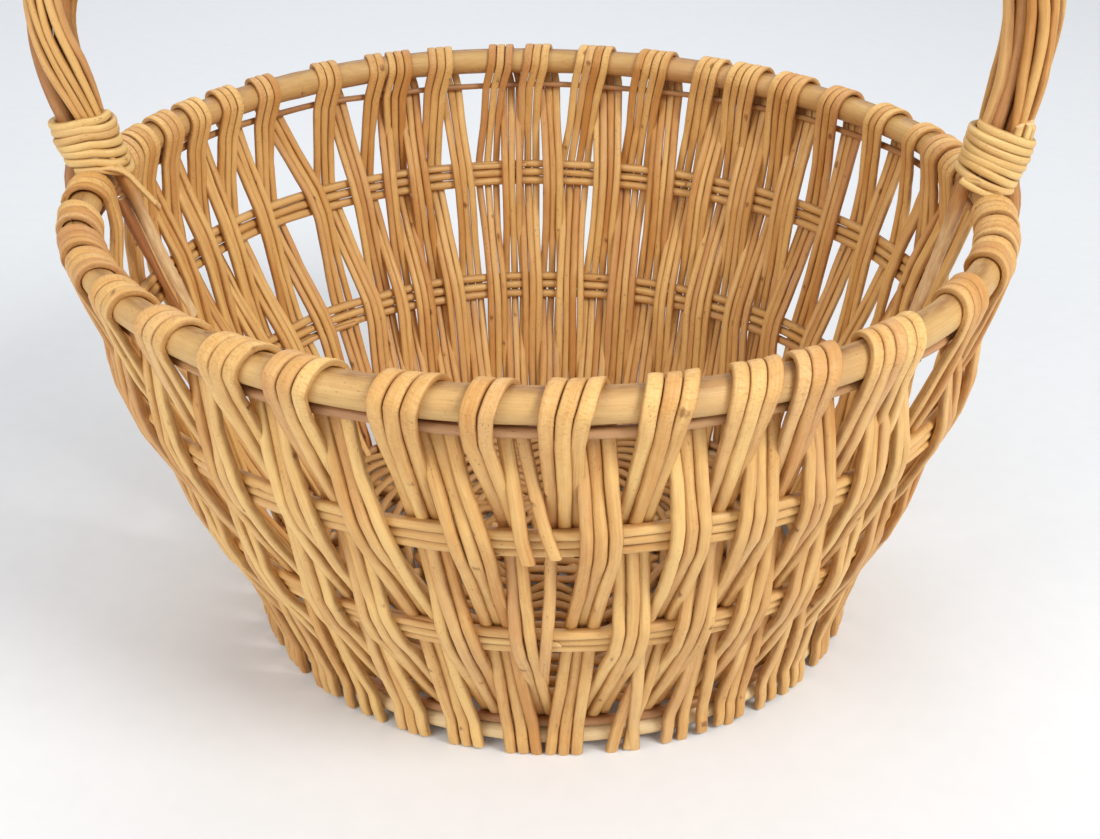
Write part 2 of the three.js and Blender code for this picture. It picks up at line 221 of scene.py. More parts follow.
class Piece:
    """Collects rods and makes one mesh object of them."""

    def __init__(self, name):
        self.name = name
        self.count = 0
        self.points = []
        self.grain = []
        self.marks = []
        self.tone_and_side_shade = []
        self.faces = []

    def add(self, points, grain, marks, tone, edge, faces):
        """Adds points with their attributes, and faces that count from the first of these points."""
        self.points.append(points)
        self.grain.append(grain)
        self.marks.append(marks)
        self.tone_and_side_shade.append(np.stack(np.broadcast_arrays(tone, edge, np.zeros(len(points))), axis=1))
        self.faces.extend([i + self.count for i in face] for face in faces)
        self.count += len(points)

    def rod(self, path, outward, width, thickness, tone, sides=12, square=0.0, bend=0.0, knots=33.0,
            swell=0.02, limits=None, slants=(0.3, 0.3), floor=None, pared=0.0):
        """Sweeps one rod along a path. width is across the outward direction and thickness is along it.

        tone goes from pale to honey, square flattens the sides, bend marks where the rod is creased, knots is
        the mean distance between buds, swell how uneven the rod is, limits cuts the section along outward,
        slants tilts the cut ends, floor is where the last end is cut level, and pared marks bare wood.
        """
        path = np.asarray(path, float)
        count = len(path)
        along = unit(np.gradient(path, axis=0))
        outward = np.broadcast_to(outward, path.shape)
        outward = unit(outward - along * np.sum(outward * along, axis=1, keepdims=True))
        across = np.cross(along, outward)
        run = lengths(path)
        phi = 2 * math.pi * (np.arange(sides) + 0.5) / sides
        power = (1 - 0.5 * np.broadcast_to(square, count))[:, None]
        side = np.sign(np.cos(phi)) * np.abs(np.cos(phi)) ** power
        front = np.sign(np.sin(phi)) * np.abs(np.sin(phi)) ** power
        drift = wander(run, SWELL_DRIFT, SWELL_LENGTH)[:, None]
        ripple = RIPPLE * np.sin(run[:, None] / RIPPLE_LENGTH + phi + RNG.uniform(0, 6))
        lumps = 1 + swell * (drift + ripple)
        knot = np.zeros((count, sides))
        place = RNG.uniform(0, 2 * knots)
        while place < run[-1]:
            around = RNG.uniform(0, 2 * math.pi)
            near = np.exp(-(((run - place) / BUD_LENGTH) ** 2))[:, None] * RNG.uniform(0.6, 1)
            facing = np.exp((np.cos(phi - around) - 1) / BUD_SPREAD)
            knot = np.maximum(knot, near * facing)
            lumps = lumps + BUD_SWELLING * np.exp(-(((run - place) / BUD_SWELLING_LENGTH) ** 2))[:, None]
            place += RNG.uniform(0.5, 1.5) * knots
        half_width = np.broadcast_to(width, count)[:, None] / 2
        half_thickness = np.broadcast_to(thickness, count)[:, None] / 2
        x = side * half_width * lumps
        y = front * half_thickness * lumps + knot * BUD_HEIGHT * np.sign(front)
        if limits is not None:
            y = np.clip(y, limits[0][:, None], limits[1][:, None])
        rings = path[:, None] + across[:, None] * x[..., None] + outward[:, None] * y[..., None]
        rings[0] += along[0] * (x[0] * slants[0])[:, None]
        rings[-1] += along[-1] * (x[-1] * slants[1])[:, None]
        if floor is not None:
            rings[-1] += along[-1] * ((floor - rings[-1][:, 2]) / along[-1][2])[:, None]
        offset = RNG.uniform(0, 900, 3)
        grain = np.stack([x, y, np.broadcast_to(run[:, None], x.shape)], axis=-1) + offset
        bent = np.broadcast_to(np.broadcast_to(bend, count)[:, None], x.shape)
        bare = np.broadcast_to(np.broadcast_to(pared, count)[:, None], x.shape)
        marks = np.stack([knot, bent, bare], axis=-1)
        ring = np.arange(sides)
        after = (ring + 1) % sides
        below = (np.arange(count - 1) * sides)[:, None]
        above = below + sides
        quads = np.stack([below + ring, above + ring, above + after, below + after], axis=-1)
        # Painted shade: this weight browns each side of the section, where the rod lies against its
        # neighbours.
        edge = np.broadcast_to(np.abs(np.cos(phi)) ** SIDE_SHADE_POWER, (count, sides)).ravel()
        first = self.count
        last = first + (count - 1) * sides
        on_floor = floor is not None
        self.add(rings.reshape(-1, 3), grain.reshape(-1, 3), marks.reshape(-1, 3), tone, edge,
                 quads.reshape(-1, 4).tolist())
        self.cap(rings[0], grain[0], -along[0], tone, first, ring, after, on_floor)
        self.cap(rings[-1], grain[-1], along[-1], tone, last, after, ring, on_floor)

    def cap(self, ring_points, ring_grain, normal, tone, first, ring, after, on_floor):
        """Closes one end, whose ring of points starts at first, with a narrow bevel and a flat cut face."""
        sides = len(ring)
        centre = ring_points.mean(axis=0)
        size = np.linalg.norm(ring_points - centre, axis=1).min()
        lift = normal * min(BEVEL, BEVEL_LIMIT * size)
        inner = centre + (ring_points - centre) * FLAT_SHARE + lift
        points = np.vstack([inner, centre + lift])
        if on_floor:
            points[:, 2] = np.maximum(points[:, 2], OFF_FLOOR)
        marks = np.tile([0.0, 0.0, 1.0], (sides + 1, 1))
        grain = np.vstack([ring_grain, ring_grain.mean(axis=0)])
        start = self.count
        local = [[first + a - start, first + b - start, b, a] for a, b in zip(after, ring)]
        local += [[a, b, sides] for a, b in zip(after, ring)]
        self.add(points, grain, marks, tone, 0.0, local)

    def finish(self, material, slot, node):
        """Makes the mesh object, in place of the CAD node of this name."""
        mesh = bpy.data.meshes.new(self.name)
        mesh.from_pydata((hand_made(np.vstack(self.points)) * MM).tolist(), [], self.faces)
        for key, rows in (("grain", self.grain), ("marks", self.marks), ("tone_and_side_shade", self.tone_and_side_shade)):
            attribute = mesh.attributes.new(key, "FLOAT_VECTOR", "POINT")
            attribute.data.foreach_set("vector", np.vstack(rows).astype(np.float32).ravel())
        mesh.shade_smooth()
        mesh.set_sharp_from_angle(angle=math.radians(SHARP_DEGREES))
        mesh.materials.append(material)
        piece = bpy.data.objects.new(self.name, mesh)
        bpy.context.scene.collection.objects.link(piece)
        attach(piece, BODY)
        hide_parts(node)


# ---- Willow ----


class Shader:
    """A material whose nodes are added by short calls, each giving an output socket."""

    def __init__(self, name):
        self.material = bpy.data.materials.new(name)
        self.material.use_nodes = True
        self.tree = self.material.node_tree
        self.tree.nodes.clear()

    def node(self, kind, inputs, **settings):
        made = self.tree.nodes.new("ShaderNode" + kind)
        for key, value in settings.items():
            setattr(made, key, value)
        for key, value in inputs.items():
            if isinstance(value, bpy.types.NodeSocket):
                self.tree.links.new(value, made.inputs[key])
            else:
                made.inputs[key].default_value = value
        return made

    def attribute(self, key):
        return self.node("Attribute", {}, attribute_name=key).outputs["Vector"]

    def noise(self, vector, scale, detail):
        scaled = self.node("Mapping", {"Vector": vector, "Scale": scale}).outputs[0]
        return self.node("TexNoise", {"Vector": scaled, "Scale": 1.0, "Detail": detail}).outputs["Fac"]

    def math(self, operation, a, b):
        return self.node("Math", {0: a, 1: b}, operation=operation).outputs[0]

    def span(self, value, low, high, out_low=0.0, out_high=1.0):
        inputs = {"Value": value, "From Min": low, "From Max": high, "To Min": out_low, "To Max": out_high}
        return self.node("MapRange", inputs).outputs[0]

    def mix(self, factor, a, b):
        return self.node("Mix", {0: factor, 6: a, 7: b}, data_type="RGBA").outputs[2]

    def bump(self, height, distance, normal=None, strength=1.0):
        inputs = {"Height": height, "Distance": distance, "Strength": strength}
        if normal is not None:
            inputs["Normal"] = normal
        return self.node("Bump", inputs).outputs[0]

    def surface(self, **inputs):
        """Ends the tree and gives the material. In the inputs' names _ stands for a space."""
        named = {key.replace("_", " "): value for key, value in inputs.items()}
        bsdf = self.node("BsdfPrincipled", named)
        self.node("OutputMaterial", {"Surface": bsdf.outputs[0]})
        return self.material


def linear(red, green, blue):
    """A colour given as 0-255 sRGB, for a shader socket."""
    def channel(value):
        value /= 255
        return value / 12.92 if value <= 0.04045 else ((value + 0.055) / 1.055) ** 2.4
    return (channel(red), channel(green), channel(blue), 1)


ROSY = (204, 152, 116)
BROWN = (122, 68, 24)
CUT_PALE = (246, 218, 168)
CUT_TAN = (212, 168, 114)
GLOSS = 0.47


def willow(name, pale, honey):
    """Peeled willow: streaks along the grain, slow drifts from pale to honey, specks, bud scars and creases.

    Some rods are rosier than others, and all have painted shade along the sides, browner where the rods lie
    against each other.
    Every noise has its scale per millimetre across the rod, twice, and along it.
    """
    brown = linear(*BROWN)
    shader = Shader(name)
    grain = shader.attribute("grain")
    marks = shader.attribute("marks")
    tone_and_side_shade = shader.attribute("tone_and_side_shade")
    knot, bend, cut = shader.node("SeparateXYZ", {0: marks}).outputs
    # edge is the weight of the painted shade along each rod's sides.
    tone, edge = shader.node("SeparateXYZ", {0: tone_and_side_shade}).outputs[:2]
    streaks = shader.noise(grain, (1.5, 1.5, 0.028), 5.0)
    drift = shader.noise(grain, (0.12, 0.12, 0.022), 2.0)
    mottle = shader.noise(grain, (0.55, 0.55, 0.16), 3.0)
    specks = shader.noise(grain, (1.7, 1.7, 0.75), 1.0)
    clusters = shader.noise(grain, (0.1, 0.1, 0.045), 1.0)
    depth = tone
    for pattern, swing in ((drift, 0.32), (streaks, 0.16), (mottle, 0.12)):
        depth = shader.math("ADD", depth, shader.span(pattern, 0.3, 0.7, -swing, swing))
    depth = shader.span(depth, 0.0, 1.0)
    colour = shader.mix(depth, linear(*pale), linear(*honey))
    rose = shader.noise(grain, (0.02, 0.02, 0.006), 1.0)
    colour = shader.mix(shader.span(rose, 0.52, 0.7, 0.0, 0.24), colour, linear(*ROSY))
    # Painted shade: each rod's sides are mixed towards brown, mottled, as the shade between touching rods.
    painted_side_shade = shader.math("MULTIPLY", edge, shader.span(mottle, 0.2, 0.7, 0.35, 0.75))
    colour = shader.mix(painted_side_shade, colour, brown)
    speck = shader.math("MULTIPLY", shader.span(specks, 0.66, 0.74), shader.span(clusters, 0.45, 0.62))
    colour = shader.mix(shader.math("MULTIPLY", speck, 0.55), colour, brown)
    line = shader.noise(grain, (3.2, 3.2, 0.05), 1.0)
    colour = shader.mix(shader.span(line, 0.7, 0.82, 0.0, 0.22), colour, brown)
    ragged = shader.math("ADD", knot, shader.span(mottle, 0.2, 0.8, -0.25, 0.25))
    scar = shader.span(ragged, 0.5, 0.78)
    colour = shader.mix(shader.math("MULTIPLY", scar, 0.75), colour, brown)
    wrinkles = shader.noise(grain, (0.5, 0.5, 1.5), 2.0)
    crease = shader.math("MULTIPLY", bend, shader.span(wrinkles, 0.5, 0.7))
    colour = shader.mix(shader.math("MULTIPLY", crease, 0.5), colour, linear(*honey))
    crack = shader.math("MULTIPLY", bend, shader.span(wrinkles, 0.66, 0.8))
    colour = shader.mix(shader.math("MULTIPLY", crack, 0.2), colour, brown)
    end = shader.mix(shader.span(mottle, 0.3, 0.75), linear(*CUT_PALE), linear(*CUT_TAN))
    colour = shader.mix(cut, colour, end)
    normal = shader.bump(streaks, 0.0002)
    normal = shader.bump(line, 0.00012, normal)
    normal = shader.bump(shader.math("MULTIPLY", bend, wrinkles), 0.00035, normal)
    normal = shader.bump(scar, 0.0004, normal, 0.7)
    rough = shader.span(streaks, 0.3, 0.7, GLOSS - 0.08, GLOSS + 0.12)
    return shader.surface(Base_Color=colour, Roughness=rough, Normal=normal, Specular_IOR_Level=0.45)


# Each willow's pale and honey colours, as 0-255 sRGB.
STAKE_WILLOW = willow("willow_stakes", (238, 195, 122), (202, 142, 74))
RIM_WILLOW = willow("willow_rim", (216, 176, 112), (188, 140, 80))
HOOP_WILLOW = willow("willow_base_hoop", (242, 214, 162), (216, 178, 122))
BAND_WILLOW = willow("willow_bands", (236, 194, 124), (206, 150, 82))
DARK_WILLOW = willow("willow_thin_rods", (202, 154, 100), (150, 94, 52))
CORE_WILLOW = willow("willow_handle_sticks", (206, 152, 90), (158, 98, 48))
WRAP_WILLOW = willow("willow_handle_wraps", (228, 182, 110), (190, 130, 64))
BINDING_WILLOW = willow("willow_bindings", (236, 200, 130), (204, 156, 86))
BASE_WILLOW = willow("willow_base", (220, 178, 116), (178, 128, 72))

# ---- Stake loops ----

STAKE_WIDTH = (4.45, 4.7)
STAKE_FLATNESS = 0.8
OVER_RIM_STEPS = 8
CORNER = 7.0
RIM_REACH = RIM_THICKNESS / 2 + 1.5
BAND_REACH = BAND_ROD / 2 + 1.9
HOOP_REACH = BASE_HOOP_THICKNESS / 2 + 2.1
# The legs are held at the base hoop, at this distance above and below the middle of each band, and just below
# the under-rim rod.
FOOT_HOLD_Z = 7
BAND_HOLD = 5.5
SHOULDER_Z = 153
RIM_HOLD_Z = 172

# From the floor up, as (height, side, clear, spacing). side is +1 where the outer leg is outside and -1 where
# it is inside. For each leg, clear is how far it is from the wall's middle, and spacing is in rod widths.
LEVELS = [
    (0, -1, (0, 10.8), (1.0, 1.06)),
    (FOOT_HOLD_Z, -1, (HOOP_REACH - 2.2, HOOP_REACH + 2.4), (0.9, 1.03)),
    (14, -1, (3.8, 5.0), (0.9, 1.02)),
    (44, 0, (0, 0), (0.86, 0.86)),
    (LOWER_BAND_Z - BAND_HOLD, 1, (BAND_REACH, BAND_REACH), (1.03, 0.86)),
    (LOWER_BAND_Z + BAND_HOLD, 1, (BAND_REACH, BAND_REACH), (1.03, 0.86)),
    (102, 0, (0, 0), (0.84, 0.84)),
    (UPPER_BAND_Z - BAND_HOLD, -1, (BAND_REACH, BAND_REACH), (0.86, 1.03)),
    (UPPER_BAND_Z + BAND_HOLD, -1, (BAND_REACH, BAND_REACH), (0.86, 1.03)),
    (SHOULDER_Z, 0, (0, 0), (0.86, 0.9)),
    (RIM_HOLD_Z, 1, (4.1, 4.1), (1.0, 1.0)),
]
# Heights where something holds the legs, with the usual drift of the outer and inner leg in degrees, and how
# closely the rods may be pushed together there. Between them every leg runs straight.
HELD = [
    (FOOT_HOLD_Z, (0, 5), 0.84),
    (LOWER_BAND_Z, (-0.5, 5), 0.8),
    (UPPER_BAND_Z, (-1, 4.6), 0.8),
]
HELD_HEIGHTS = [level[0] for level in HELD]
SETTLING_ROUNDS = 300
SETTLING_STEP = 0.7
LEG_JITTER = 0.4

# Loops that cross the rim another way, and how far each goes round, in degrees.
RIM_SHIFTS = {-172: -3.0}
# How much further in the inner leg of a loop hangs, at each height, where a handle foot pushes it in.
PUSHED_IN = {-172: {RIM_HOLD_Z: 4.2, SHOULDER_Z: 3.0}}
# Where single legs lean away from the usual drift: loop angle to (outer, inner) drifts at the upper band,
# the lower band and the base, in degrees.
LEANS = {
    -172: [(0.5, -4.8), (0, 0.5), (0, 3.5)],
    -121: [(2, 4.5), (2, 6.2), (1.5, 3.5)],
    -113: [(1.7, 5.8), (1.7, 7.5), (1.5, 6.7)],
    -102: [(0.5, 5.8), (1, 8.4), (2, 2.4)],
    -94: [(3.4, 5.9), (0.9, 5), (-2.2, 5)],
    -86: [(-2.8, 3.4), (-0.2, 1.8), (-0.4, 1.4)],
    -76.5: [(-1.5, 4.2), (-1.2, 3.7), (-5.3, 3.5)],
    127: [(-2, 3.5), (-4, 1), (-4, 0.5)],
    138.5: [(-5, 3), (-5, 2), (-4, 2)],
}
# Inner legs cut off at the upper band: loop angle to (cut height, sideways fan of each rod). Their usual rows
# end at CUT_FROM_Z, and their rods fan out from FAN_Z down.
CUT_SHORT = {-94: (125.6, (-2.2, 2.4))}
CUT_FROM_Z = 128
FAN_Z = 175
FAN_LENGTH = 55
# Outer legs that lose rods: loop angle to the rods that start only behind the upper band.
ENDS_BEHIND = {-86: (1, 2)}
HIDDEN_DEPTH = 4


def lean(degrees, z, usual):
    """How far a loop's outer and inner leg have drifted at this height, in degrees."""
    if degrees not in LEANS:
        return usual
    upper, lower, base = LEANS[degrees]
    rows = np.array([base, lower, upper], float)
    return [float(np.interp(z, HELD_HEIGHTS, rows[:, i])) for i in (0, 1)]


def frontness(degrees):
    """From 1 along the front to 0 along the back."""
    front = np.clip(0.55 - 0.75 * math.sin(math.radians(degrees)), 0, 1)
    return front * front * (3 - 2 * front)


def gauge(degrees):
    """The stoutest stakes went in at the front, and the thinner ones at the back."""
    return 0.78 + 0.22 * frontness(degrees)


def looseness(degrees):
    """How much further apart than touching the rods of a leg lie."""
    return 1.11 - 0.1 * frontness(degrees)


def rim_shift(degrees):
    """How far a loop goes round while it crosses the rim, in degrees."""
    return RIM_SHIFTS.get(degrees, 1.1 + 1.5 * frontness(degrees))


def stake_width(z, degrees):
    """A stake is stoutest at the rim and thins towards its tips."""
    return np.interp(z, (0, RIM_Z), STAKE_WIDTH) * gauge(degrees)


def settled_legs(z, usual, pack):
    """The angle of every loop's outer and inner leg at one height, pushed apart until each has room."""
    room = 360 / (2 * math.pi * wall_radius(z))
    angles = []
    widths = []
    for degrees, rods in LOOPS:
        outer, inner = lean(degrees, z, usual)
        jitter = RNG.normal(0, LEG_JITTER, 2)
        angles += [degrees + outer + jitter[0], degrees + inner + jitter[1]]
        leg_width = rods * stake_width(z, degrees) * pack * room
        ended = z < UPPER_BAND_Z
        widths += [leg_width * (not (ended and degrees in short)) for short in (ENDS_BEHIND, CUT_SHORT)]
    angles = np.array(angles)
    widths = np.array(widths)
    wanted = (widths + np.roll(widths, -1)) / 2
    turn = np.zeros(len(angles))
    turn[-1] = 360
    for _ in range(SETTLING_ROUNDS):
        push = np.maximum(0, wanted - (np.roll(angles, -1) + turn - angles)) / 2
        angles += np.roll(push, 1) * SETTLING_STEP - push * SETTLING_STEP
    return angles.reshape(-1, 2)


PLACES = np.array([settled_legs(*level) for level in HELD])
# How many degrees each leg stands aside just below the rim, and how much more it does at the back.
LEGS_APART = 0.4
BACK_LEGS_APART = 0.7
OUTER_LEG_SHIFT = 0.2
# Below the base hoop the inner legs lean on by this share of their lean above it.
TIP_LEAN = 0.08
# How flat the rods are just below the rim. Over it they are at their flattest.
FLAT_UNDER_RIM = 0.55


def leg_rows(loop, is_inner):
    """Rows of angle, radius, height, outward turn, rod spacing and flatness, from the floor up."""
    degrees = LOOPS[loop][0]
    leg = int(is_inner)
    apart = LEGS_APART + BACK_LEGS_APART * (1 - frontness(degrees))
    under_rim = degrees + (rim_shift(degrees) + apart if is_inner else OUTER_LEG_SHIFT - apart)
    held = HELD_HEIGHTS + [RIM_HOLD_Z]
    places = PLACES[:, loop, leg].tolist() + [under_rim]
    rows = []
    for z, side, clear, spacing in LEVELS:
        if not is_inner and z == 0:
            continue
        offset = side * clear[leg] * (-1 if is_inner else 1)
        if is_inner:
            offset -= PUSHED_IN.get(degrees, {}).get(z, 0)
        pitch = spacing[leg] * looseness(degrees) * stake_width(z, degrees)
        angle = float(np.interp(z, held, places))
        if z < HELD_HEIGHTS[0]:
            angle = places[0] - TIP_LEAN * (places[1] - places[0])
        flat = FLAT_UNDER_RIM * (z == RIM_HOLD_Z)
        rows.append((angle, wall_radius(z) + offset, z, 180 if is_inner else 0, pitch, flat))
    return rows


def over_rim_rows(degrees, spacing):
    """Such rows for the half turn over the rim, from outside to inside."""
    rows = []
    for i in range(OVER_RIM_STEPS + 1):
        turn = 180 * i / OVER_RIM_STEPS
        radius = RIM_RADIUS + RIM_REACH * math.cos(math.radians(turn))
        height = RIM_Z + RIM_REACH * math.sin(math.radians(turn))
        angle = degrees + rim_shift(degrees) * i / OVER_RIM_STEPS
        rows.append((angle, radius, height, turn, spacing, 1.0))
    return rows


FLATTENED_WIDTH = 5.5
CROWDING = 1.02


def rim_spacing(loop):
    """How wide each rod may be on the rim before the loop meets its neighbours."""
    degrees, rods = LOOPS[loop]
    before = LOOPS[loop - 1]
    after = LOOPS[(loop + 1) % len(LOOPS)]
    gaps = []
    for other, other_rods in (before, after):
        gap = abs((degrees - other + 180) % 360 - 180) * math.radians(1) * RIM_RADIUS
        gaps.append(gap / (rods + other_rods) * 2)
    return min(FLATTENED_WIDTH * gauge(degrees) ** 1.1, CROWDING * min(gaps))


# Inner legs whose rods stray below STRAY_Z: loop angle to each rod's sideways shift at its tip.
STRAYS = {-76.5: (9.5, -4.0, -2.5), -67.8: (0, 1.5, 5), -131: (-3, 0, 2), -52: (-2, 0, 3)}
STRAY_Z = 70
# The mean and spread of the loops' tones, the spread in a loop, and how many rods are browner by how much.
LOOP_TONE = (0.38, 0.08)
ROD_TONE_SPREAD = 0.13
BROWN_ROD_SHARE = 0.1
BROWNER = 0.28
# Loops of browner rods, and how much browner.
TANNED = {
    -157: 0.16, -131: 0.14, -102: 0.42, -61: 0.1, -36: 0.14, 39: 0.15, 91.5: 0.15, 114.5: 0.2, 146: 0.15,
}
CORNER_STEP = 1.7
STRAIGHT_STEP = 4.5


def path_steps(knots):
    """Places along a path: close together round its corners and further apart on its straight runs."""
    places = [knots[0]]
    while places[-1] < knots[-1]:
        near = np.abs(knots - places[-1]).min()
        places.append(places[-1] + (CORNER_STEP if near < CORNER / 2 else STRAIGHT_STEP))
    places[-1] = knots[-1]
    return np.array(places)


def stake_loop(loop):
    """One bundle of rods, from the floor up the outer leg, over the rim and down the inner leg."""
    degrees, rods = LOOPS[loop]
    piece = Piece(f"willow_loop_{loop + 1:02d}")
    width_on_rim = rim_spacing(loop)
    outer = leg_rows(loop, False)
    inner = leg_rows(loop, True)[::-1]
    if degrees in CUT_SHORT:
        height, fan = CUT_SHORT[degrees]
        inner = [row for row in inner if row[2] > CUT_FROM_Z]
        last = inner[-1]
        inner.append((last[0] + 0.7, last[1] - 0.6, height) + last[3:])
    rows = np.array(outer + over_rim_rows(degrees, width_on_rim) + inner, float)
    knots = lengths(polar(rows[:, 1], rows[:, 0], rows[:, 2]))
    at = path_steps(knots)
    angle, radius, z, turn, spacing, flat = kinked(knots, rows, at, CORNER).T
    flat = np.clip(flat, 0, 1)
    middle = polar(radius, angle, z)
    turn = np.radians(turn)
    outward = polar(np.cos(turn), angle, np.sin(turn))
    along = unit(np.gradient(middle, axis=0))
    outward = unit(outward - along * np.sum(outward * along, axis=1, keepdims=True))
    across = np.cross(along, outward)
    top = int(np.argmax(z))
    free = (1 - flat) * np.clip((at[-1] - at) / 20, 0.3, 1)
    is_inner = np.arange(len(at)) > top
    loop_tone = RNG.normal(*LOOP_TONE) + TANNED.get(degrees, 0)
    for rod in range(rods):
        size = RNG.normal(1, 0.035)
        tone = RNG.normal(loop_tone, ROD_TONE_SPREAD) + (BROWNER if RNG.random() < BROWN_ROD_SHARE else 0)
        tone = float(np.clip(tone, 0, 1))
        width = size * (stake_width(z, degrees) + flat * (width_on_rim - stake_width(z, degrees) - 0.3))
        thickness = size * stake_width(z, degrees) * STAKE_FLATNESS * (1 - 0.36 * flat)
        packed = np.clip(spacing / width, 0, 1)
        zigzag = thickness * np.sqrt(1 - packed**2) * (0.5 if rod % 2 else -0.5)
        sideways = (rod - (rods - 1) / 2) * spacing + wander(at, 0.22, 170) * free
        deep = zigzag + wander(at, 0.2, 150) * free
        stray = STRAYS.get(degrees, (0,) * rods)[rod]
        fall = np.where(is_inner, np.clip((STRAY_Z - z) / STRAY_Z, 0, 1), 0)
        sideways = sideways + stray * fall**1.3
        deep = deep - abs(stray) * 0.25 * np.sin(math.pi * np.clip(fall, 0, 1))
        if degrees in CUT_SHORT:
            opened = np.where(is_inner, np.clip((FAN_Z - z) / FAN_LENGTH, 0, 1), 0)
            sideways = sideways + fan[rod] * opened
        path = middle + across * sideways[:, None] + outward * deep[:, None]
        if degrees in CUT_SHORT:
            piece.rod(path, outward, width, thickness, square=0.4 + 0.5 * flat, tone=tone, bend=flat)
            continue
        lift = max(0.3, RNG.uniform(-1.0, 2.4))
        hidden = rod in ENDS_BEHIND.get(degrees, ())
        outer_start = (UPPER_BAND_Z - HIDDEN_DEPTH) * hidden
        keep = np.where(is_inner, path[:, 2] > lift + 1.5, path[:, 2] > outer_start)
        start = RNG.integers(0, 2)
        picked = [values[keep][start:] for values in (path, outward, width, thickness, flat)]
        path, facing, width, thickness, bend = picked
        piece.rod(path, facing, width, thickness, square=0.4 + 0.5 * bend, tone=tone, bend=bend, floor=lift)
    piece.finish(STAKE_WILLOW, "stakes", f"stake_loop_{loop + 1:02d}")


for loop_index in range(len(LOOPS)):
    stake_loop(loop_index)

# ---- Hoops and bands ----

RING_STEPS = 260
RING_TAPER = 0.35


def ring_rod(piece, radius, z, thickness, start, lap, wobble, tone, aside, sides=12, back=(1.0, 0.0)):
    """A rod bent round once, whose tapered ends lie past each other for lap degrees, one inside the other.

    wobble is how far it drifts in radius and in height. back is how thick it is at the back as a share of the
    front, and how far it sinks there.
    """
    angle = np.linspace(start, start + 360 + lap, RING_STEPS)
    run = np.radians(angle) * radius
    near_start = np.clip(1 - (angle - start) / (lap * 1.5), 0, 1)
    near_end = np.clip(1 - (start + 360 + lap - angle) / (lap * 1.5), 0, 1)
    behind = (1 + np.sin(np.radians(angle))) / 2
    taper = 1 - RING_TAPER * near_start - RING_TAPER * near_end
    size = thickness * taper * (1 - (1 - back[0]) * behind)
    shift = aside * (near_end - near_start)
    height = z + wander(run, wobble[1], 170) - back[1] * behind**2
    path = polar(radius + wander(run, wobble[0], 140) + shift, angle, height)
    piece.rod(path, polar(1.0, angle, 0), size, size, sides=sides, tone=tone, slants=(0.8, 0.8))


# Where the rim's scarf starts and how long it is, in degrees, half the gap in it, and its tips' thickness.
SCARF_START = -171.0
SCARF_LAP = 24.0
SCARF_GAP = 0.06
SCARF_TIP = 0.3
RIM_STEPS = 420


def rim_hoop():
    """The stout rim stick, not quite round or level. Its ends are pared to wedges and lie in one scarf."""
    piece = Piece("willow_rim_hoop")
    angle = np.linspace(SCARF_START, SCARF_START + 360 + SCARF_LAP, RIM_STEPS)
    half = RIM_THICKNESS / 2
    into_start = np.clip((angle - SCARF_START) / SCARF_LAP, 0, 1)
    into_end = np.clip((angle - SCARF_START - 360) / SCARF_LAP, 0, 1)
    cut_start = half - RIM_THICKNESS * into_start + SCARF_GAP
    cut_end = half - RIM_THICKNESS * into_end - SCARF_GAP
    low = np.where(angle < SCARF_START + SCARF_LAP, np.minimum(cut_start, half - SCARF_TIP), -2 * half)
    high = np.where(angle > SCARF_START + 360, np.maximum(cut_end, SCARF_TIP - half), 2 * half)
    closed = np.radians(angle)
    radius = RIM_RADIUS + 0.5 * np.sin(2 * closed + 1) + 0.3 * np.sin(5 * closed)
    height = RIM_Z + 0.4 * np.sin(3 * closed + 2) + 0.25 * np.sin(7 * closed)
    path = polar(radius, angle, height)
    outward = polar(1.0, angle, 0)
    piece.rod(path, outward, RIM_THICKNESS - 0.2, RIM_THICKNESS - 0.2, sides=28, tone=0.3, knots=55.0,
              swell=0.012, limits=(low, high), slants=(0, 0))
    piece.finish(RIM_WILLOW, "rim", "rim_hoop")


rim_hoop()

RING_LAP = 16


def single_ring(node, radius, z, thickness, material, slot, start, wobble, tone, sides=14, back=(1.0, 0.0)):
    """A ring that is a piece of its own."""
    piece = Piece(f"willow_{node}")
    ring_rod(piece, radius, z, thickness, start, RING_LAP, wobble, tone, thickness * 0.33, sides, back)
    piece.finish(material, slot, node)


single_ring("under_rim_rod", float(wall_radius(UNDER_RIM_Z)), UNDER_RIM_Z, THIN_ROD, DARK_WILLOW,
            "thin_rods", -60, (0.35, 0.3), 0.4, back=(0.68, 3.2))
single_ring("base_ring_rod", float(wall_radius(BASE_RING_Z)) + 0.2, BASE_RING_Z, THIN_ROD, DARK_WILLOW,
            "thin_rods", 150, (0.3, 0.25), 0.4)
single_ring("base_hoop", BASE_RADIUS, BASE_HOOP_Z, BASE_HOOP_THICKNESS, HOOP_WILLOW,
            "rim", 100, (0.3, 0.15), 0.2, sides=20)

BAND_LAP = 22
BAND_ASIDE = 1.4


def band(name, middle):
    """Three thin rods stacked in a wall, each pushed in and out a little by the legs."""
    for i in range(3):
        piece = Piece(f"willow_{name}_{i + 1}")
        z = middle + (i - 1) * BAND_PITCH
        ring_rod(piece, float(wall_radius(z)), z, BAND_ROD, RNG.uniform(-180, 180), BAND_LAP, (0.35, 0.22),
                 float(RNG.uniform(0.25, 0.6)), BAND_ASIDE)
        piece.finish(BAND_WILLOW, "bands", f"{name}_rod_{i + 1}")


band("upper_band", UPPER_BAND_Z)
band("lower_band", LOWER_BAND_Z)

# ---- Base ----

STICK_PITCH = BASE_STICK * 1.05
# A stick lies beside its neighbours up to the first reach, and has opened by OPENED at the second.
TIED_REACH = 12
OPENED_REACH = 34
OPENED = 8
# In the middle the split sticks are thicker, and those that go through them are thinner.
SPLIT_REACH = 14
SPLIT_SWELLING = 0.12
SLIPPED_PARING = -0.1


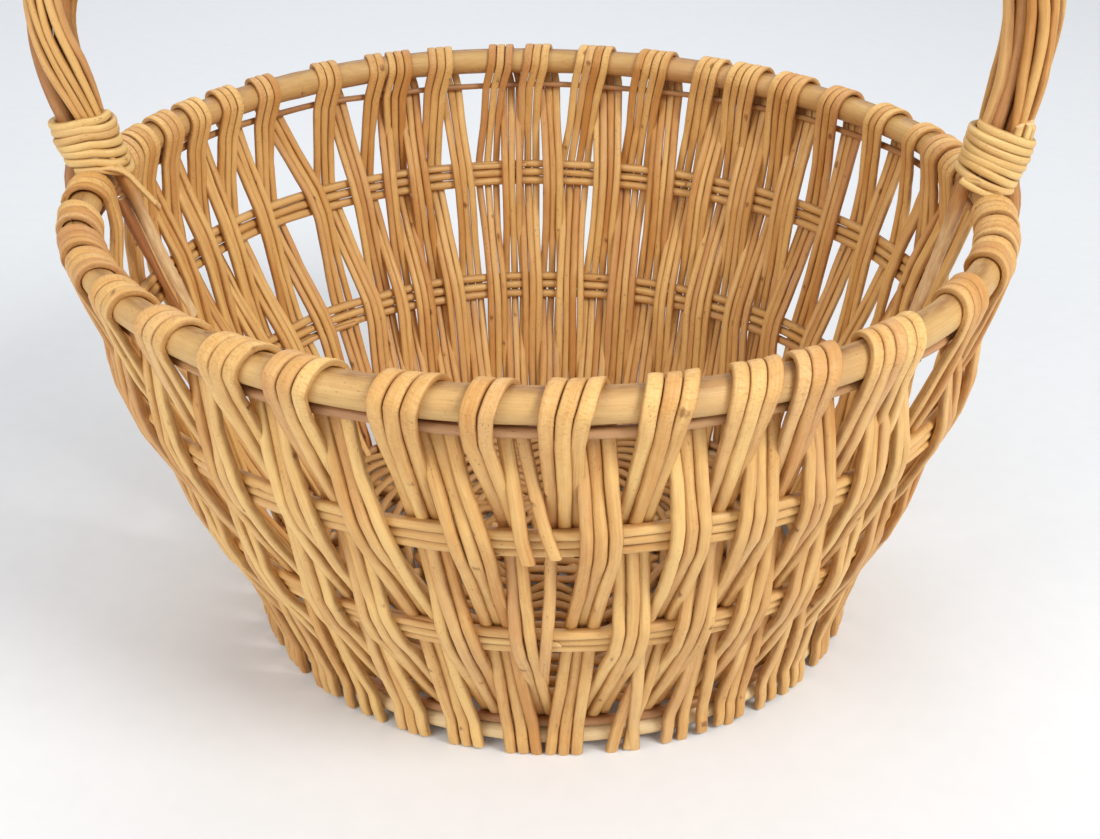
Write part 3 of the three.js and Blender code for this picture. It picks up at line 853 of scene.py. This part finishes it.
def stick_route(spoke):
    """Half of a base stick in its own direction. spoke is -1, 0 or 1, for the side that it opens to."""
    beside = spoke * STICK_PITCH
    angle = math.radians(spoke * BASE_SPOKE_ANGLE)
    end = (BASE_STICK_REACH * math.cos(angle), BASE_STICK_REACH * math.sin(angle))
    return [(TIED_REACH, beside), (OPENED_REACH, beside + spoke * OPENED), end]


def base_sticks():
    """Three sticks along X that go through three split ones along Y."""
    piece = Piece("willow_base_sticks")
    for is_split in (False, True):
        for spoke in (-1, 0, 1):
            half = stick_route(spoke)
            route = [(-x, y) for x, y in half[::-1]] + half
            flat = smooth_through([(x, y, BASE_WEAVE_Z) for x, y in route], 4)
            if is_split:
                flat = np.stack([-flat[:, 1], flat[:, 0], flat[:, 2]], axis=1)
            run = lengths(flat)
            middle = np.exp(-(((run - run[-1] / 2) / SPLIT_REACH) ** 2))
            size = BASE_STICK * (1 + (SPLIT_SWELLING if is_split else SLIPPED_PARING) * middle)
            piece.rod(flat, (0, 0, 1), size, size, tone=RNG.uniform(0.1, 0.4), slants=(0.6, -0.6))
    piece.finish(BASE_WILLOW, "base", "base_sticks")


base_sticks()

WEAVER = 3.3
WEAVE_SWING = BASE_STICK / 2 + WEAVER / 2 + 0.1
WEAVE_START = 20
WEAVE_PITCH = 3.55
WEAVE_ROUNDS = 26
TIED_ROUNDS = 5


def spoke_angles(radius):
    """Where the twelve arms of the sticks are at this radius."""
    half = np.array(stick_route(1))
    reach = np.hypot(half[:, 0], half[:, 1])
    arm = float(np.interp(radius, reach, np.degrees(np.arctan2(half[:, 1], half[:, 0]))))
    return sorted(quarter * 90 + turn for quarter in range(4) for turn in (-arm, 0, arm))


def base_weave():
    """Thin rods round and round, over one arm and under the next. The first tie the arms in threes."""
    piece = Piece("willow_base_weave")
    for i in range(WEAVE_ROUNDS):
        radius = WEAVE_START + WEAVE_PITCH * i
        side = 1 if i % 2 else -1
        arms = [0, 90, 180, 270] if i < TIED_ROUNDS else spoke_angles(radius)
        places = [arm + turn for turn in (-360, 0, 360) for arm in arms]
        heights = [side * WEAVE_SWING * (-1) ** k for k in range(len(places))]
        start = float(RNG.uniform(0, 300))
        angle = np.linspace(start - 180, start + 184, max(60, int(radius * 2.4)))
        rise = spline(np.array(places, float), np.array(heights)[:, None], (angle + 180) % 360 - 180)[:, 0]
        run = np.radians(angle) * radius
        path = polar(radius + wander(run, 0.25, 60), angle, BASE_WEAVE_Z + rise)
        piece.rod(path, polar(1.0, angle, 0), WEAVER, WEAVER, sides=8, tone=RNG.uniform(0.2, 0.7), knots=40)
    piece.finish(BASE_WILLOW, "base", "base_weave")


base_weave()

# ---- Bow handle ----

BOW_ARC_STEPS = 12


def bow_point(share):
    """A point on the bow's arc above its feet, from left to right."""
    turn = math.pi * share
    rise = (HANDLE_TOP_Z - HANDLE_SPRING_Z) * math.sin(turn)
    return (HANDLE_SKEW - HANDLE_HALF_SPAN * math.cos(turn), 0, HANDLE_SPRING_Z + rise)


def bow_curve():
    """The bow's middle line, from its end at the rim on the left to that on the right."""
    lean_in = [HANDLE_SKEW * i / len(BOW_FOOT) for i in range(len(BOW_FOOT))]
    left = [(-x + shift, 0, z) for (x, z), shift in zip(BOW_FOOT, lean_in)]
    right = [(x + shift, 0, z) for (x, z), shift in zip(BOW_FOOT, lean_in)]
    arc = [bow_point(i / BOW_ARC_STEPS) for i in range(BOW_ARC_STEPS + 1)]
    tucked = [(side * BOW_TUCK[0], 0, BOW_TUCK[1]) for side in (-1, 1)]
    return smooth_through(tucked[:1] + left + arc + right[::-1] + tucked[1:], 1.5)


BOW = bow_curve()
BOW_TUCKED = math.dist(BOW_TUCK, BOW_FOOT[0])
BOW_LENGTH = lengths(BOW)[-1] - 2 * BOW_TUCKED
BOW_SHARES = (lengths(BOW) - BOW_TUCKED) / BOW_LENGTH
SIDEWAYS = np.array([0.0, 1.0, 0.0])
UP = np.array([0.0, 0.0, 1.0])


def bow_at(shares):
    """Points on the bow's middle line at these shares of its length, and outward from it in its plane."""
    along = unit(np.gradient(BOW, axis=0))
    out = -np.cross(SIDEWAYS, along)
    middle = np.stack([np.interp(shares, BOW_SHARES, BOW[:, k]) for k in range(3)], axis=1)
    outward = unit(np.stack([np.interp(shares, BOW_SHARES, out[:, k]) for k in range(3)], axis=1))
    return middle, outward


# The inner stick's feet are pared this far up: how flat, how broad on the left and right, and how bare.
PARED = 62.0
PARED_FLAT = 0.42
PARED_BROAD = (0.08, 0.45)
PARED_BARE = 0.85
TIP_LENGTH = 16
TIP_SLIM = 0.35
OUTER_SPREAD = 4.2
SPREAD_SHARE = 0.05
FOOT_SLACK = 3.2


def handle_core(name, offset, foot, depth, tone, spread):
    """One core stick, from a slanting cut below the rim, over the bow, to the same on the other side.

    depth is how far back its cut ends are, and spread how far it stands off the other stick near the left
    binding.
    """
    shares = np.linspace(0.015, 0.985, 60)
    middle, outward = bow_at(shares)
    stand_off = spread * np.exp(-(((shares - SPREAD_SHARE) / SPREAD_SHARE) ** 2))
    middle = middle + outward * (offset + stand_off)[:, None]
    slack = -FOOT_SLACK * np.linspace(1, 0, len(foot)) * (offset < 0)
    left = [(-x - slack[k], depth * (1 - k / 3), z) for k, (x, z) in enumerate(foot)]
    right = [(x, depth * (1 - k / 3), z) for k, (x, z) in enumerate(foot)][::-1]
    path = smooth_through(left + middle.tolist() + right, 4)
    run = lengths(path)
    path = path + SIDEWAYS * wander(run, 0.35, 260)[:, None]
    end = np.minimum(run, run[-1] - run)
    slim = np.clip(end / TIP_LENGTH, TIP_SLIM, 1)
    pared = np.clip((PARED - end) / TIP_LENGTH, 0, 1) * (offset < 0)
    broad = np.where(run < run[-1] / 2, *PARED_BROAD) * pared
    piece = Piece(name)
    piece.rod(path, SIDEWAYS, CORE_THICKNESS * slim * (1 - PARED_FLAT * pared), CORE_THICKNESS * (1 + broad),
              sides=16, square=0.3 * pared, tone=tone, knots=60.0, slants=(-0.4, 0.4),
              pared=PARED_BARE * pared)
    return piece


SPLINT = [(-169.5, -3.8, 178), (-166.5, -4.6, 170), (-157, -8.0, 148), (-148.5, -10.0, 129)]
SPLINT_THICKNESS = 5.8


def splint_beside(piece):
    """A thin brown stick pushed in below the rim beside the left foot of the inner core stick."""
    path = smooth_through(SPLINT, 4)
    size = SPLINT_THICKNESS * np.clip(1.25 - lengths(path) / lengths(path)[-1], 0.5, 1)
    piece.rod(path, SIDEWAYS, size * 0.8, size, tone=0.75, slants=(0.2, 0.6))


outer_core = handle_core("willow_handle_core_outer", CORE_OFFSET, OUTER_FOOT, 0, 0.62, OUTER_SPREAD)
outer_core.finish(CORE_WILLOW, "handle_sticks", "handle_core_outer")
inner_core = handle_core("willow_handle_core_inner", -CORE_OFFSET, INNER_FOOT, 3, 0.3, 0)
splint_beside(inner_core)
inner_core.finish(CORE_WILLOW, "handle_sticks", "handle_core_inner")


def around_cores(phi, reach):
    """A place on the outline that hugs both core sticks, as distances outward and sideways."""
    out = CORE_OFFSET * np.tanh(2 * np.cos(phi)) / math.tanh(2) + reach * np.cos(phi)
    return out, reach * np.sin(phi)


TABLE_PHI = np.linspace(-4 * math.pi, 8 * math.pi, 2400)


def outline_table(reach):
    """The distance round the outline at each of the table's angles."""
    out, side = around_cores(TABLE_PHI, reach)
    return lengths(np.stack([out, side], axis=1))


# Where the wraps end, as shares of the bow, and their twist in degrees: at its first rate, what it loses by
# the right end, and its lag above the left binding.
WRAP_ENDS = (-0.006, 1.006)
WRAP_TWIST = 1050
WRAP_SLOWING = 400
WRAP_LAG = 28
LAG_PLACE = 0.11
NEAR_END = 0.05
TUCKED_SHARE = 0.06
WRAP_ROD = 3.5
WRAP_REACH = CORE_THICKNESS / 2 + WRAP_ROD / 2 - 0.1
TUCKED_DEPTH = 1.3


def handle_wrap(node, start_degrees, rods, tucked):
    """A bundle of thin rods side by side, wound slowly along the bow round both core sticks.

    tucked is how many degrees further round it starts in the left binding.
    """
    piece = Piece(f"willow_{node}")
    along = np.linspace(0, 1, 150)
    shares = WRAP_ENDS[0] + (WRAP_ENDS[1] - WRAP_ENDS[0]) * along
    middle, outward = bow_at(shares)
    lag = WRAP_LAG * np.exp(-(((along - LAG_PLACE) / NEAR_END) ** 2))
    tuck = tucked * np.exp(-((along / NEAR_END) ** 2))
    turn = np.radians(start_degrees + WRAP_TWIST * along - WRAP_SLOWING * along**2 + tuck - lag)
    table = outline_table(WRAP_REACH)
    centre = np.interp(turn, TABLE_PHI, table)
    run = along * BOW_LENGTH
    ends = np.clip(np.minimum(along, 1 - along) / TUCKED_SHARE, 0, 1)
    taper = 0.9 + 0.3 * along
    for rod in range(rods):
        thickness = WRAP_ROD * RNG.normal(1, 0.06) * (0.7 + 0.3 * ends) * taper
        place = (rod - (rods - 1) / 2) * WRAP_ROD * taper * (0.66 + 0.37 * ends) + wander(run, 0.6, 150)
        phi = np.interp(centre + place, table, TABLE_PHI)
        reach = WRAP_REACH - TUCKED_DEPTH * (1 - ends) + wander(run, 0.3, 120) + 0.4
        out, side = around_cores(phi, reach)
        path = middle + outward * out[:, None] + SIDEWAYS * side[:, None]
        facing = outward * np.cos(phi)[:, None] + SIDEWAYS * np.sin(phi)[:, None]
        tone = float(np.clip(RNG.normal(0.45, 0.25), 0, 1))
        piece.rod(path, facing, thickness, thickness * 0.92, tone=tone, knots=50.0)
    piece.finish(WRAP_WILLOW, "handle_wraps", node)


handle_wrap("handle_wrap_1", -150, 5, 0)
handle_wrap("handle_wrap_2", 30, 4, 30)

# Where the bindings lie, as shares of the bow, and at how many degrees round it each one starts.
BINDING_SPAN = (-0.0125, 0.0205)
BINDING_START = {"left": 170, "right": 200}
BINDING_ROD = 3.5
BINDING_TURNS = 6.4
BINDING_REACH = CORE_THICKNESS / 2 + 3.1 + BINDING_ROD / 2
BINDING_STEPS = 230
TAIL_TAPER = (1, 0.66)
TAIL_LEAD = 12
LOOSE_ENDS = {
    "left": [(-162.5, -9.5, 190.5), (-158.5, -10, 185), (-153.5, -10.5, 179)],
    "right": [(163.8, -13.5, 194.8), (172.5, -15.5, 191.2), (178.5, -17, 189.8)],
}
SECOND_LOOSE_END = [(-168, -6.0, 196), (-163.5, -7.2, 189.5), (-157, -8.2, 182), (-152.6, -8.6, 176.5)]
# Short ends above the right binding, as (degrees round the bow, share of the bow that they reach).
STUBS = ((-75, 0.027), (-52, 0.029), (-30, 0.025))


def handle_binding(side_name):
    """One thin rod wound round an end of the bow, sloping as it was pulled tight, and its last loose end."""
    is_right = side_name == "right"
    piece = Piece(f"willow_handle_binding_{side_name}")
    along = np.linspace(0, 1, BINDING_STEPS)
    span = BINDING_SPAN[1] - (BINDING_SPAN[1] - BINDING_SPAN[0]) * along
    shares = 1 - span if is_right else span
    middle, outward = bow_at(shares)
    phi = 2 * math.pi * BINDING_TURNS * along + math.radians(BINDING_START[side_name])
    run = phi * 12
    reach = BINDING_REACH + wander(run, 0.25, 70) - 1.6 * np.clip(1 - along / 0.05, 0, 1)
    out, side = around_cores(phi, reach)
    slope = -0.24 * out if is_right else -0.3 * np.maximum(0, -out - 3)
    rise = slope + wander(run, 0.5, 90)
    path = middle + outward * out[:, None] + SIDEWAYS * side[:, None] + UP * rise[:, None]
    facing = outward * np.cos(phi)[:, None] + SIDEWAYS * np.sin(phi)[:, None]
    tail = smooth_through([path[-1]] + LOOSE_ENDS[side_name], 2.5)[1:]
    inward = (-1 if is_right else 1, 0, 0.3)
    facing = np.vstack([facing, np.tile(facing[-1] * 0.4 + inward, (len(tail), 1))])
    path = np.vstack([path, tail])
    tapered = (len(path) - len(tail) - TAIL_LEAD, len(path))
    size = BINDING_ROD * np.interp(np.arange(len(path)), tapered, TAIL_TAPER)
    piece.rod(path, facing, size, size * 0.8, square=0.3, tone=0.3, knots=70.0, bend=0.25)
    return piece


def stub_above(piece, degrees, share):
    """A short end that sticks out of the top of the right binding."""
    middle, outward = bow_at(1 - np.linspace(0.004, share, 12))
    phi = math.radians(degrees)
    out, side = around_cores(phi, BINDING_REACH - 1.5)
    path = middle + outward * out + SIDEWAYS * side
    facing = outward * math.cos(phi) + SIDEWAYS * math.sin(phi)
    piece.rod(path, facing, 3.4, 3.1, tone=0.4, knots=200.0, slants=(0, 0.5))


left_binding = handle_binding("left")
left_binding.rod(smooth_through(SECOND_LOOSE_END, 2.5), (1.0, -0.5, 0.8), 2.5, 2.2, tone=0.55, knots=200.0,
                 slants=(0, 0.6))
left_binding.finish(BINDING_WILLOW, "bindings", "handle_binding_left")
right_binding = handle_binding("right")
for degrees_round, reached in STUBS:
    stub_above(right_binding, degrees_round, reached)
right_binding.finish(BINDING_WILLOW, "bindings", "handle_binding_right")

# ---- Floor, light and camera, in metres ----

FLOOR_REACH = 15.0
# The two greys of the paper, as linear colours, and how fine its grain is.
PAPER = ((0.79, 0.815, 0.84, 1), (0.805, 0.83, 0.855, 1))
PAPER_GRAIN = (90, 90, 90)


def floor():
    """Pale paper under the basket."""
    mesh = bpy.data.meshes.new("floor")
    corners = [(x * FLOOR_REACH, y * FLOOR_REACH, 0) for x, y in ((-1, -1), (1, -1), (1, 1), (-1, 1))]
    mesh.from_pydata(corners, [], [(0, 1, 2, 3)])
    shader = Shader("floor_paper")
    place = shader.node("NewGeometry", {}).outputs["Position"]
    grain = shader.noise(place, PAPER_GRAIN, 3.0)
    colour = shader.mix(shader.span(grain, 0.3, 0.7), *PAPER)
    mesh.materials.append(shader.surface(Base_Color=colour, Roughness=0.6, Specular_IOR_Level=0.2))
    plane = bpy.data.objects.new("floor", mesh)
    bpy.context.scene.collection.objects.link(plane)


SKY = (0.97, 0.98, 1.0, 1)
SKY_STRENGTH = 0.6
# Each round lamp as (name, place, target, size, power in watts, colour).
LAMPS = (
    ("key", (0.9, -0.75, 1.2), (0, -0.05, 0.12), 0.6, 16, (1.0, 0.985, 0.965)),
    ("fill", (-0.95, -0.95, 0.9), (0, -0.1, 0.1), 0.9, 8, (1.0, 0.99, 0.98)),
    ("back", (-0.2, 1.3, 1.3), (0, 0, 0.1), 1.0, 6, (0.98, 0.99, 1.0)),
)


def studio():
    scene = bpy.context.scene
    scene.view_settings.view_transform = "Standard"
    scene.view_settings.look = "None"
    world = bpy.data.worlds.new("studio")
    world.use_nodes = True
    background = world.node_tree.nodes["Background"]
    background.inputs["Color"].default_value = SKY
    background.inputs["Strength"].default_value = SKY_STRENGTH
    scene.world = world
    for name, place, target, size, power, colour in LAMPS:
        data = bpy.data.lights.new(name, "AREA")
        data.shape = "DISK"
        data.size = size
        data.energy = power
        data.color = colour
        light = bpy.data.objects.new(name, data)
        light.location = place
        light.rotation_euler = (Vector(target) - Vector(place)).to_track_quat("-Z", "Y").to_euler()
        scene.collection.objects.link(light)


# The camera's angles are in degrees and its focal length in picture widths.
CAMERA_PLACE = (0.012994, -0.563548, 0.399024)
CAMERA_DOWN = 29.62
CAMERA_YAW = -1.2
CAMERA_ROLL = 0.59
CAMERA_FOCAL = 1500 / 1100
SENSOR_WIDTH = 36


def camera():
    down, yaw, roll = (math.radians(a) for a in (CAMERA_DOWN, CAMERA_YAW, CAMERA_ROLL))
    forward = Vector((math.sin(yaw) * math.cos(down), math.cos(yaw) * math.cos(down), -math.sin(down)))
    level = Vector((math.cos(yaw), -math.sin(yaw), 0))
    upright = level.cross(forward)
    right = level * math.cos(roll) + upright * math.sin(roll)
    up = upright * math.cos(roll) - level * math.sin(roll)
    data = bpy.data.cameras.new("camera")
    data.sensor_width = SENSOR_WIDTH
    data.lens = SENSOR_WIDTH * CAMERA_FOCAL
    data.clip_start = 0.01
    made = bpy.data.objects.new("camera", data)
    turn = Matrix((right, up, -forward)).transposed().to_4x4()
    made.matrix_world = Matrix.Translation(CAMERA_PLACE) @ turn
    bpy.context.scene.collection.objects.link(made)
    bpy.context.scene.camera = made


floor()
studio()
camera()
